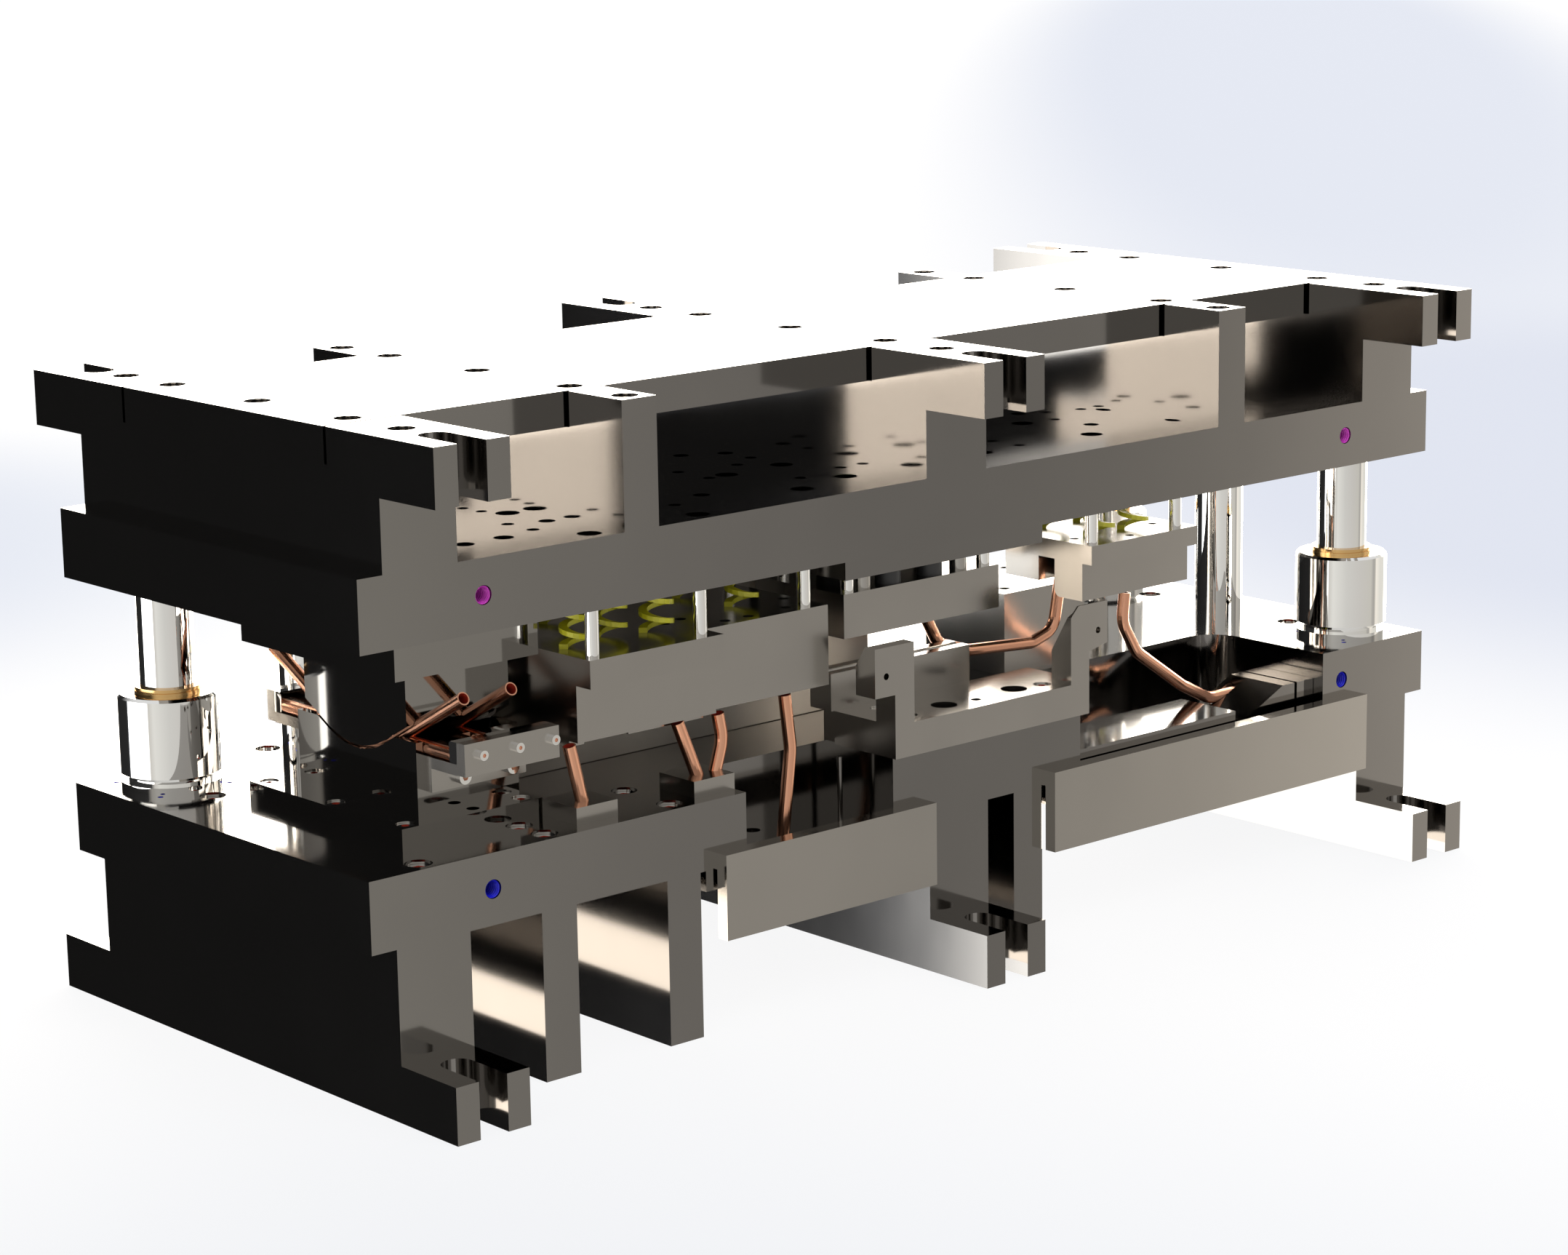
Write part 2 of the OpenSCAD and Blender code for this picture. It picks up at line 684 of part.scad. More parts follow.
// Bars that the tube ends stop against, on the bracket's shelf
module tube_stops() {
  far = bracket_reach - bracket_t;
  color(bright) difference() {
    for (side = [-1, 1]) along_x(bracket_x)
      polygon([for (p = [[far, flange_top], [far, stop_top], [far - stop_t + 1.5, stop_top],
        [far - stop_t, stop_top - 1.5], [far - stop_t, flange_top + 1.5],
        [far - stop_t + 1.5, flange_top]]) [bend_y + side * p[0], p[1]]]);
    for (side = [-1, 1], x = bracket_screw_xs)
      translate([x, bend_y + side * (far - 6), bracket_screw_z]) rotate([-90 * side, 0, 0])
        cylinder(h = 30, d = m4[0] + 2 * loose);
  }
}

module side_screw(kind, l) {
  rotate([-90, 0, 0]) socket_screw(kind, l, kind[2]);
}
module bracket_screws() {
  color(copper) for (side = [-1, 1]) {
    for (x = leg_screw_xs)
      translate([x, bend_y + side * (bend_block_l / 2 + 8.5), leg_screw_z])
        mirror([0, side > 0 ? 0 : 1, 0]) side_screw(m6, 20);
    for (x = bracket_screw_xs)
      translate([x, bend_y + side * bracket_reach, bracket_screw_z])
        mirror([0, side > 0 ? 0 : 1, 0]) side_screw(m4, 14);
  }
}

// Copper tubes with a V bend and a level branch at each side
module bend_tube(x) {
  bent_tube(bend_path(x, bend_reach), bend_r, [1, 0, 0]);
  start = (z_branch - z_corner) / tan(bend_angle);
  for (side = [-1, 1])
    translate([x, bend_y + side * start, z_branch]) rotate([-90 * side, 0, 0])
      cylinder(h = branch_reach - start, r = tube_r, $fn = 20);
}
module bend_tubes() color(copper) for (x = bend_tube_xs) bend_tube(x);

// Insert blocks and the tubes that stand in them
module insert_blocks() {
  color(steel) for (s = insert_sites)
    box([s[0], s[1]], [s[2], s[2] + insert_l], [z_deck, z_deck + insert_h]);
}

// Tube that stands on a flat face at z: the path starts below and is cut level
module standing_tube(path, r, z, side) {
  difference() {
    bent_tube(path, r, side);
    box([path[0][0] - 40, path[0][0] + 40], [path[0][1] - 40, path[0][1] + 40], [z - 40, z]);
  }
}
z_insert = z_deck + insert_h;
// How far a standing tube's path starts below the face that it is cut to
cut_low = 8;
insert_paths = [
  [[-329, z_insert - cut_low], [-341, tube_top]],
  [[-225, z_insert - cut_low], [-245, tube_top]],
  [[-213.5, z_insert - cut_low], [-204, z_insert + 22], [-208, tube_top]]];
module insert_tubes() {
  color(copper) for (p = insert_paths)
    standing_tube([for (s = p) [s[0], stand_y, s[1]]], 30, z_insert, [0, 1, 0]);
}

module pit_tube() {
  color(copper) standing_tube([[-146, pit_y, z_low - cut_low], [-136.5, pit_y, z_deck + 13.5],
    [-141.5, pit_y, tube_top + left_step]], 40, z_low, [0, 1, 0]);
}

// Cradle: base, two posts and their outward heads
module cradle_outline() {
  out = cradle_leg[1] + leg_w;
  top = z_deck + cradle_h;
  polygon([[cradle_x[0], z_deck], [cradle_x[1], z_deck], [out, head_z],
    [out + head_over, head_z + head_slope], [out + head_over, top],
    [cradle_leg[1] + head_bevel, top], [cradle_leg[1], top - head_bevel],
    [cradle_leg[1], z_deck + cradle_base_t], [cradle_leg[0], z_deck + cradle_base_t],
    [cradle_leg[0], top], [cradle_x[0] - head_over, top], [cradle_x[0] - head_over, head_z],
    [cradle_x[0], head_z]]);
}

// Slope that thins the back of a post towards its top
module back_slope(x, slope) {
  back = -cradle_front + cradle_arm_t;
  along_x(x) polygon([[back + eps, z_deck + slope[0]], [back, z_deck + slope[0]],
    [-cradle_front + slope[2], z_deck + slope[1]], [-cradle_front + slope[2], z_deck + cradle_h + eps],
    [back + eps, z_deck + cradle_h + eps]]);
}

module cradle() {
  color(steel) difference() {
    union() {
      translate([0, -cradle_front + cradle_arm_t, 0]) rotate([90, 0, 0])
        linear_extrude(cradle_arm_t) cradle_outline();
      box(cradle_x, [-cradle_front, cradle_back], [z_deck, z_deck + cradle_base_t]);
    }
    back_slope([cradle_x[0] - head_over - eps, cradle_leg[0] + eps], left_slope);
    back_slope([cradle_leg[1] - eps, cradle_leg[1] + leg_w + head_over + eps], right_slope);
    for (x = post_hole_xs)
      translate([x, -cradle_front - eps, post_hole_z]) rotate([-90, 0, 0])
        cylinder(h = cradle_arm_t + 2 * eps, d = post_hole_d);
    at(access_sites) drill(access_d, z_deck - eps, z_deck + cradle_base_t + eps);
    at([small_hole]) drill(small_hole[2], z_deck - eps, z_deck + cradle_base_t + eps);
    cradle_screw_rooms();
  }
}
module cradle_screws() {
  color(screw_color) at(cradle_screw_sites)
    socket_screw(m8, cradle_screw_l, z_deck + cradle_base_t - sunk);
}

// Die block behind the cradle, with a round groove along its top
module center_die_block() {
  z0 = z_deck + center_block_low;
  z1 = z_deck + center_block_h;
  y0 = cradle_back;
  color(steel) difference() {
    union() {
      box(center_block_x, [y0, y0 + center_block_l], [z0, z1]);
      box([center_block_foot_x, center_block_x[1]], [y0, y0 + center_block_l], [z_deck, z0 + eps]);
    }
    translate([center_block_x[0] - eps, y0 + center_block_l / 2, z1]) rotate([0, 90, 0])
      cylinder(h = center_block_x[1] - center_block_x[0] + 2 * eps, r = center_groove_r);
  }
}

module center_tube() {
  top = z_roof - pad_drop - mid_pad_t - 4;
  path = [[46, top], [62, z_deck + 50], [93, z_deck + 40], [162, z_deck + 35], [186, z_deck + 42],
    [196, z_deck + 94]];
  color(copper)
    bent_tube([for (p = path) [p[0], center_tube_y, p[1]]], 16, [0, 1, 0], 10);
}

module right_die_block() {
  color(steel) difference() {
    box(die_block_x, die_block_y, [z_deck, z_deck + die_block_h]);
    for (k = [0, 1]) translate([die_block_x[k] + (1 - 2 * k) * die_block_hole[0],
      die_block_y[k] + (1 - 2 * k) * die_block_hole[0], 0])
      drill(die_block_hole[1], z_deck + die_block_h - die_block_hole[2], z_deck + die_block_h + eps);
  }
}

module anvil_plate() {
  color(steel) box(anvil_x, anvil_y, [z_low, z_low + anvil_t]);
}

module wedge_block() {
  color(steel) difference() {
    translate([0, wedge_y[1], 0]) rotate([90, 0, 0]) linear_extrude(wedge_y[1] - wedge_y[0])
      polygon([[wedge_x[0], z_low], [wedge_x[1], z_low], [wedge_x[1], z_low + wedge_h],
        [wedge_x[1] - wedge_flat, z_low + wedge_h], [wedge_x[0], z_low + wedge_low]]);
    translate([wedge_x[0] - eps, right_tube_y, right_end_z]) rotate([0, 90, 0])
      cylinder(h = right_end_x + 2 * eps - wedge_x[0], r = groove_r);
    box([wedge_x[0] - eps, right_end_x + eps], [right_tube_y - groove_r, right_tube_y + groove_r],
      [right_end_z, z_low + wedge_h + eps]);
  }
}
right_end_z = z_low + 17;
right_end_x = 368;

module wedge_backer() {
  color(steel) box([wedge_x[1] + wedge_gap, wedge_x[1] + wedge_gap + backer_t], wedge_y,
    [z_low, z_low + wedge_h]);
}

module right_tube() {
  top = z_roof - pad_drop - right_slab_t - right_block_t - 1.5;
  path = [[234, top], [231, z_deck + 45], [247, z_deck + 19], [300, z_deck - 17], [332, right_end_z],
    [right_end_x, right_end_z]];
  color(copper) bent_tube([for (p = path) [p[0], right_tube_y, p[1]]], 24, [0, 1, 0], 10);
}

module gauge_pin() {
  color(dark_steel)
    at([gauge_site]) drill(gauge_d, z_low - gauge_root, z_low + gauge_l);
}

// Upper die set
module upper_shoe() {
  color(steel) difference() {
    box([-shoe_l / 2, shoe_l / 2], [-shoe_w / 2, shoe_w / 2], [z_roof, z_pocket]);
    at(post_sites) drill(post_d + 2 * fit, z_roof - eps, z_pocket + eps);
    at(concat(left_bolts, mid_bolts, right_bolts)) bolt_room();
    for (h = pocket_holes) translate([h[0], front + h[1], 0]) drill(h[2], z_roof - eps, z_pocket + eps);
    lift_holes(z_roof + upper_shoe_t / 2);
  }
}

// Room for a shoulder bolt through the upper shoe, with its head's counterbore
module bolt_room() {
  drill(shoulder_d + 2 * fit, z_roof - 40, seat_z + eps);
  drill(head_d + 1, seat_z, z_pocket + eps);
}

module top_screw_holes(xs) {
  for (x = xs, y = top_ys) translate([x, y, 0]) {
    drill(m12[0] + 2 * loose, z_top - recess - m12[2] - top_screw_l - loose, z_top + eps);
    drill(m12[1] + 2 * loose, z_top - recess - m12[2], z_top + eps);
  }
}

// Riser over the upper shoe; the clamped ones have a slotted tab at each end
module top_riser(x, t, tabs) {
  color(steel) difference() {
    union() {
      box([x - t / 2, x + t / 2], [-shoe_w / 2, shoe_w / 2], [z_pocket, z_top]);
      if (tabs) box([x - t / 2, x + t / 2], [-span_w / 2, span_w / 2], [z_top - tab_t, z_top]);
    }
    box([x - t, x + t], [-beam_w / 2 - beam_play, beam_w / 2 + beam_play], [z_top - beam_t, z_top + eps]);
    if (tabs) clamp_slots(x, z_top - tab_t, z_top);
    top_screw_holes([x]);
  }
}
module upper_riser_left() top_riser(-riser_x, riser_t, true);
module upper_riser_mid_left() top_riser(-narrow_up_x, narrow_t, false);
module upper_riser_center() top_riser(0, riser_t, true);
module upper_riser_mid_right() top_riser(narrow_up_x, narrow_t, false);
module upper_riser_right() top_riser(riser_x, riser_t, true);

module center_beam() {
  color(steel) difference() {
    box([-beam_l / 2, beam_l / 2], [-beam_w / 2, beam_w / 2], [z_top - beam_t, z_top]);
    top_screw_holes(top_xs);
  }
}

module top_screws() {
  color(dark_steel) for (x = top_xs, y = top_ys)
    translate([x, y, 0]) socket_screw(m12, top_screw_l, z_top - recess);
}

module guide_posts() {
  color(bright) at(post_sites) {
    drill(post_d, post_low + 3, z_pocket);
    translate([0, 0, post_low]) cylinder(h = 3, r1 = post_r - 3, r2 = post_r);
  }
}

// Bend station, upper half
module punch_plate() {
  color(steel) box([plate_x[0] - 1, plate_x[1]], plate_y, [z_roof - punch_plate_t, z_roof]);
}

module bend_punch() {
  top = z_roof - punch_plate_t;
  color(dark_steel) difference() {
    intersection() {
      box([block_x[0], block_x[1] + 1], punch_y, [z_deck, top]);
      along_x([block_x[0] - eps, block_x[1] + 2 * eps])
        bend_outline(face_gap, 100, z_roof);
    }
    for (x = bend_tube_xs) tube_groove(x);
  }
}

module center_spacer() {
  color(steel) difference() {
    box(spacer_x, [mid_y[0], mid_y[1] + 20], [z_roof - spacer_t, z_roof]);
    at(mid_bolts) drill(shoulder_d + 2 * fit, z_roof - spacer_t - eps, z_roof + eps);
    at(sleeve_sites) drill(sleeve_d + 1, z_roof - spacer_t - eps, z_roof + eps);
    at(mid_springs) drill(mid_spring_d + 2, z_roof - spacer_t - eps, z_roof + eps);
  }
}

// Shoulder bolt of a pad: head on its seat, shoulder on the pad, stud in the pad
module shoulder_bolt(z_pad) {
  difference() {
    union() {
      drill(head_d, seat_z, seat_z + head_h);
      drill(shoulder_d, z_pad, seat_z + eps);
      drill(stud_d, z_pad - stud_l, z_pad + eps);
    }
    translate([0, 0, seat_z + head_h - 4]) cylinder(h = 5, d = 8, $fn = 6);
  }
}
module stud_holes(sites, z_pad) {
  at(sites) drill(stud_d + 2 * fit, z_pad - stud_l - 1, z_pad + eps);
}

// Left-handed spring of flat wire between z0 and z1
spring_wide = 6;
spring_thick = 3.5;
spring_start = 139;
spring_steps = 18;
module flat_spring(z0, z1, d, turns) {
  n = round(turns * spring_steps);
  rise = z1 - z0 - spring_thick;
  pts = [for (i = [0 : n], c = [[0, 0], [1, 0], [1, 1], [0, 1]])
    let (a = spring_start - 360 * i / spring_steps, r = d / 2 - spring_wide * c[0],
      z = z0 + rise * i / n + spring_thick * c[1])
    [r * cos(a), r * sin(a), z]];
  sides = [for (i = [0 : n - 1], k = [0 : 3])
    [i * 4 + 4 + k, i * 4 + 4 + (k + 1) % 4, i * 4 + (k + 1) % 4, i * 4 + k]];
  polyhedron(pts, concat([[0, 1, 2, 3]], sides, [[for (k = [3 : -1 : 0]) n * 4 + k]]),
    convexity = 8);
}

// Left pad
module left_pad_slab() {
  z = z_left_block;
  color(steel) difference() {
    union() {
      box([left_x[0], left_step_x], [left_front, left_back], [z, z_left_pad]);
      box(left_x, [left_step_y, left_back], [z, z_left_pad]);
    }
    stud_holes(left_bolts, z_left_pad);
    at(left_holes) drill(pad_hole_d, z_left_pad - pad_hole_deep, z_left_pad + eps);
  }
}
module left_pad_blocks() {
  color(steel) {
    box([left_x[0] + 1, left_split - left_split_gap], left_block_y, [z_left_low, z_left_block]);
    box([left_split, left_x[1]], left_step_block_y, [z_left_low + left_step, z_left_block]);
  }
}
module left_pad_shim() {
  color(steel) difference() {
    box([left_x[0] + 3, left_split - 2], shim_y, [z_left_low - shim_t, z_left_low]);
    box(shim_notch_x, [shim_y[0] - eps, shim_y[0] + shim_notch_l],
      [z_left_low - shim_t - eps, z_left_low + eps]);
  }
}
module left_pad_bolts() color(bright) at(left_bolts) shoulder_bolt(z_left_pad);
spring_turns = 2.33;
module left_pad_springs() {
  color(olive) at(left_springs) flat_spring(z_left_pad, z_roof, spring_d, spring_turns);
}

// Middle pad
z_mid_pad = z_roof - pad_drop;
module center_pad() {
  color(steel) difference() {
    union() {
      box(mid_x, mid_y, [z_mid_pad - mid_pad_t, z_mid_pad]);
      at(sleeve_sites) drill(sleeve_d, z_mid_pad - eps, z_mid_pad + sleeve_h);
    }
    stud_holes(mid_bolts, z_mid_pad);
  }
}
module center_pad_bolts() color(bright) at(mid_bolts) shoulder_bolt(z_mid_pad);
module center_pad_springs() color(dark_steel) at(mid_springs) drill(mid_spring_d, z_mid_pad, z_roof);

// Right pad
z_right_pad = z_roof - pad_drop;
module right_pad_slab() {
  color(steel) difference() {
    box(right_x, right_y, [z_right_pad - right_slab_t, z_right_pad]);
    stud_holes(right_bolts, z_right_pad);
    at(right_holes) drill(right_hole_d, z_right_pad - right_slab_t - eps, z_right_pad + eps);
  }
}
module right_pad_block() {
  z = z_right_pad - right_slab_t;
  low = z - right_block_t;
  color(steel) difference() {
    along_x(right_block_x) difference() {
      polygon([[right_block_y[0], low], [window_y[0] - right_corner_r, low],
        for (a = [-75 : 15 : 0]) [window_y[0] - right_corner_r * (1 - cos(a)),
          low + right_corner_r * (1 + sin(a))],
        [window_y[0], z - right_rear_t], [right_block_y[1], z - right_rear_t],
        [right_block_y[1], z], [right_block_y[0], z]]);
    }
    box([right_block_x[0] - eps, window_x], window_y, [low - eps, z + eps]);
  }
}
module right_pad_bolts() color(bright) at(right_bolts) shoulder_bolt(z_right_pad);
module right_pad_springs() {
  color(olive) at(right_springs) flat_spring(z_right_pad, z_roof, spring_d, spring_turns);
}

lower_shoe();
lower_riser_left();
lower_riser_center();
lower_riser_right();
lower_parallels();
bridge_bar_left();
bridge_bar_right();
floor_plate_left();
floor_plate_right();
guide_bushes();
bush_liners();
stop_columns();
shoe_screws();
bend_base_plate();
base_plate_screws();
bend_die_block();
bend_bracket_front();
bend_bracket_rear();
tube_stops();
bracket_screws();
bend_tubes();
insert_blocks();
insert_tubes();
pit_tube();
cradle();
cradle_screws();
center_die_block();
center_tube();
right_die_block();
anvil_plate();
wedge_block();
wedge_backer();
right_tube();
gauge_pin();
upper_shoe();
upper_riser_left();
upper_riser_mid_left();
upper_riser_center();
upper_riser_mid_right();
upper_riser_right();
center_beam();
top_screws();
guide_posts();
punch_plate();
bend_punch();
center_spacer();
left_pad_slab();
left_pad_blocks();
left_pad_shim();
left_pad_bolts();
left_pad_springs();
center_pad();
center_pad_bolts();
center_pad_springs();
right_pad_slab();
right_pad_block();
right_pad_bolts();
right_pad_springs();
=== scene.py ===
"""Looks of the tube forming die: finishes, threads, rear blocks, studio light and the camera."""

import math

import bmesh
import bpy
from mathutils import Matrix, Vector
from mathutils.bvhtree import BVHTree

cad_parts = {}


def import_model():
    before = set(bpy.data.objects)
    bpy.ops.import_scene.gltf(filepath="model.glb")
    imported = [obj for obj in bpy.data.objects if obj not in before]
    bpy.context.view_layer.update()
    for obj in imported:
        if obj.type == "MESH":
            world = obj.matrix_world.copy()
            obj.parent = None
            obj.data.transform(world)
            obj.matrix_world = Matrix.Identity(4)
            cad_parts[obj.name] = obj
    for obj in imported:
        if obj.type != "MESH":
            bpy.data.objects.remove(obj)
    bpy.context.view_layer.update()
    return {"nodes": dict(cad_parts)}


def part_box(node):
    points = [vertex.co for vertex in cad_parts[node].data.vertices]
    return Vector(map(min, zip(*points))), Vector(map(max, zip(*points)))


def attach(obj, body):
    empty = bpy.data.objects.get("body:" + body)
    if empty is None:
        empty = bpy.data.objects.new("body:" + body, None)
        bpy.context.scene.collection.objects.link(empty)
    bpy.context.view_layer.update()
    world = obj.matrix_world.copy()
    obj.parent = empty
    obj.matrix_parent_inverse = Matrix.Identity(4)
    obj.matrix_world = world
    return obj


# The photo's camera, solved from the object's straight edges
PHOTO_W = 2156
PHOTO_H = 1725
AZIMUTH = math.radians(41.232994502911644)
PITCH = math.radians(12.37278640165878)
ROLL = math.radians(0.9373314288401325)
FOCAL_PX = 5314.3826
CAMERA_AT = (-1.91500978722, -2.1722775, 0.86337938584)
SENSOR_MM = 36.0

# Colours, as they are written in the shaders
PLATE = (0.28, 0.268, 0.256, 1)
BLOCK = (0.43, 0.41, 0.385, 1)
BAR = (0.5, 0.475, 0.44, 1)
SATIN = (0.36, 0.34, 0.315, 1)
TOOL = (0.3, 0.287, 0.272, 1)
GROUND = (0.93, 0.925, 0.91, 1)
BRONZE = (0.75, 0.48, 0.2, 1)
COPPER = (0.78, 0.4, 0.26, 1)
# Painted shade: dark red on the copper tubes' inner faces, standing in for the shade inside the
# tubes
COPPER_INSIDE_SHADE = (0.28, 0.02, 0.01, 1)
SCREW_RED = (0.3, 0.03, 0.015, 1)
YELLOW = (0.6, 0.58, 0.02, 1)
URETHANE = (0.02, 0.02, 0.022, 1)
MAGENTA = (0.6, 0.06, 0.55, 1)
BLUE = (0.008, 0.01, 0.6, 1)

GRAIN_SCALE = 900
BUMP_DISTANCE = 0.0002

# Studio panels that the polished steel mirrors, and the background in plain view
PANEL = (13.0, 12.1, 10.8, 1)
SIDE_PANEL = (4.2, 4.2, 4.1, 1)

CAMERA_VIEW = (0.96, 0.965, 0.98, 1)

# Lifting threads in the ends of the shoes' front and rear faces
LIFT_X = 0.430
LIFT_R = 0.00665
LIFT_DEEP = 0.030
LIFT_SHORT = 0.001
LIFT_PITCH = 0.002
LIFT_HEIGHT = 0.0011
THREAD_GAP = 0.0001
LIFT_SUNK = 0.0003
THREAD_SIDES = 36
RINGS_PER_TURN = 6

# Tapped holes round each guide bush, from the post's axis
BUSH_HOLE_AT = 0.029
BUSH_THREAD_R = 0.00205
BUSH_THREAD_DEEP = 0.008
BUSH_THREAD_PITCH = 0.001
BUSH_THREAD_HEIGHT = 0.0004
POST_SIDES = ((-1, 1), (1, 1), (1, -1))

# Blocks behind the left and middle pads
REAR_GAP = 0.004
REAR_LEFT_GAP = 0.006
REAR_DEEP = 0.09
REAR_LOWER_HIGH = 0.078
REAR_UPPER_FROM = 0.084
REAR_LOWER_PAST = 0.115
REAR_SPLIT = 0.003
BLOCK_EDGE = 0.0006

# Floor: half its side, its tone in plain view, and its soft spots as centre, turn, reach, tone
FLOOR_HALF = 60.0
FLOOR_TONE = (0.99, 0.99, 0.995, 1)
FLOOR_GLOW_SHARE = 0.92
SPOT_EDGE = 0.55
FLOOR_SPOTS = (
    ((7.2, 5.8), 43.4, (10.0, 1.2), (0.72, 0.76, 0.86, 1)),
    ((2.1, 0.8), 43.4, (1.7, 0.95), (0.69, 0.73, 0.84, 1)),
    ((-0.15, 2.1), 0, (1.15, 1.15), (0.74, 0.78, 0.87, 1)),
    ((-1.2, -1.3), 0, (1.6, 1.6), (0.84, 0.86, 0.9, 1)),
)
AIM = (0, 0, 0.2)


def new_material(name):
    """A node material with its output and one shader."""
    mat = bpy.data.materials.new(name)
    mat.use_nodes = True
    tree = mat.node_tree
    tree.nodes.clear()
    out = tree.nodes.new("ShaderNodeOutputMaterial")
    shader = tree.nodes.new("ShaderNodeBsdfPrincipled")
    tree.links.new(shader.outputs["BSDF"], out.inputs["Surface"])
    return mat, tree, shader


def noise(tree, scale, detail=3.0, stretch=(1, 1, 1)):
    """Noise in object coordinates, stretched along the axes."""
    coord = tree.nodes.new("ShaderNodeTexCoord")
    mapping = tree.nodes.new("ShaderNodeMapping")
    mapping.inputs["Scale"].default_value = stretch
    tree.links.new(coord.outputs["Object"], mapping.inputs["Vector"])
    tex = tree.nodes.new("ShaderNodeTexNoise")
    tex.inputs["Scale"].default_value = scale
    tex.inputs["Detail"].default_value = detail
    tree.links.new(mapping.outputs["Vector"], tex.inputs["Vector"])
    return tex.outputs["Fac"]


def remap(tree, value, low, high):
    """Maps 0..1 to low..high."""
    node = tree.nodes.new("ShaderNodeMapRange")
    node.inputs["To Min"].default_value = low
    node.inputs["To Max"].default_value = high
    tree.links.new(value, node.inputs["Value"])
    return node.outputs["Result"]


def tint(tree, value, dark, light):
    """Mixes two colours by a value."""
    mix = tree.nodes.new("ShaderNodeMix")
    mix.data_type = "RGBA"
    mix.inputs[6].default_value = dark
    mix.inputs[7].default_value = light
    tree.links.new(value, mix.inputs[0])
    return mix.outputs[2]


def shade(color, factor):
    return (color[0] * factor, color[1] * factor, color[2] * factor, 1)


def bump(tree, shader, height, strength):
    node = tree.nodes.new("ShaderNodeBump")
    node.inputs["Strength"].default_value = strength
    node.inputs["Distance"].default_value = BUMP_DISTANCE
    tree.links.new(height, node.inputs["Height"])
    tree.links.new(node.outputs["Normal"], shader.inputs["Normal"])


def metal(name, color, rough, spread, grain, grain_stretch=(1, 1, 1), metallic=1.0):
    """Metal with slow changes of colour and polish, and a fine ground grain."""
    mat, tree, shader = new_material(name)
    shader.inputs["Metallic"].default_value = metallic
    slow = noise(tree, 9.0, 2.0)
    shades = tint(tree, slow, shade(color, 0.93), shade(color, 1.05))
    tree.links.new(shades, shader.inputs["Base Color"])
    smear = noise(tree, 26.0, 5.0, (1, 1, 0.5))
    polish = remap(tree, smear, rough - spread, rough + spread)
    tree.links.new(polish, shader.inputs["Roughness"])
    bump(tree, shader, noise(tree, GRAIN_SCALE, 2.0, grain_stretch), grain)
    return mat


def paint(name, color, rough):
    """Thin paint or plastic with slight unevenness."""
    mat, tree, shader = new_material(name)
    fine = noise(tree, 140.0, 4.0)
    shades = tint(tree, fine, shade(color, 0.8), shade(color, 1.15))
    tree.links.new(shades, shader.inputs["Base Color"])
    tree.links.new(remap(tree, fine, rough - 0.06, rough + 0.08), shader.inputs["Roughness"])
    bump(tree, shader, noise(tree, 700.0), 0.12)
    return mat


def make_materials():
    return {
        "plate": metal("plate_steel", PLATE, 0.085, 0.02, 0.006),
        "block": metal("block_steel", BLOCK, 0.19, 0.03, 0.01, (0.15, 0.15, 4)),
        "bar": metal("bar_steel", BAR, 0.12, 0.02, 0.006),
        "satin": metal("satin_steel", SATIN, 0.34, 0.05, 0.03, (0.2, 0.2, 3), metallic=0.55),
        "tool": metal("tool_steel", TOOL, 0.05, 0.02, 0.006),
        "ground": metal("ground_steel", GROUND, 0.03, 0.012, 0.004, (0.2, 0.2, 3)),
        "bronze": metal("bronze", BRONZE, 0.2, 0.05, 0.08, (0.3, 0.3, 4)),
        "copper": metal("copper", COPPER, 0.2, 0.06, 0.05),
        "yellow": paint("spring_yellow", YELLOW, 0.35),
        "urethane": paint("urethane", URETHANE, 0.45),
        "screw": metal("screw_steel", shade(PLATE, 0.8), 0.18, 0.05, 0.05),
        "red": paint("socket_red", SCREW_RED, 0.4),
        # Painted shade for the copper tubes' inner faces
        "bore_shade": paint("tube_inside_shade", COPPER_INSIDE_SHADE, 0.4),
        "magenta": paint("thread_magenta", MAGENTA, 0.35),
        "blue": paint("thread_blue", BLUE, 0.35),
    }


# Nodes of each finish; the rest are plate steel
FINISHES = {
    "tool": ("bend_die_block", "bend_punch", "punch_plate", "bend_base_plate"),
    "bar": ("bridge_bar_left", "bridge_bar_right"),
    "block": (
        "left_pad_slab", "left_pad_blocks", "left_pad_shim", "center_pad", "right_pad_slab",
        "right_pad_block", "cradle", "center_die_block", "insert_blocks", "bend_bracket_front",
        "bend_bracket_rear", "right_die_block",
    ),
    "ground": (
        "guide_bushes", "stop_columns", "shoe_screws", "base_plate_screws", "cradle_screws",
        "bracket_screws", "guide_posts", "tube_stops", "left_pad_bolts", "center_pad_bolts",
        "right_pad_bolts",
    ),
    "copper": ("bend_tubes", "insert_tubes", "pit_tube", "center_tube", "right_tube"),
    "yellow": ("left_pad_springs", "right_pad_springs"),
    "screw": ("top_screws", "gauge_pin"),
    "bronze": ("bush_liners",),
    "urethane": ("center_pad_springs",),
}
# Second finish in sockets, painted shade on the copper tubes' inner faces, and the widest opening
# there
SOCKETED = {
    "shoe_screws": ("red", 0.0105), "base_plate_screws": ("red", 0.0065),
    "cradle_screws": ("red", 0.0065), "bracket_screws": ("copper", 0.0045),
}
BORE_REACH = 0.0085
FACE_LIFT = 0.00005


def finish_of(node):
    for finish, nodes in FINISHES.items():
        if node in nodes:
            return finish
    return "plate"


def mark_hollows(obj, mat, reach):
    """Gives faces that look at another face of the same piece close by a second material: a socket
    colour, or painted shade inside the copper tubes.
    """
    mesh = obj.data
    mesh.materials.append(mat)
    tree = BVHTree.FromPolygons([v.co for v in mesh.vertices],
                                [tuple(f.vertices) for f in mesh.polygons])
    for face in mesh.polygons:
        start = face.center + face.normal * FACE_LIFT
        if tree.ray_cast(start, face.normal, reach)[0] is not None:
            face.material_index = 1


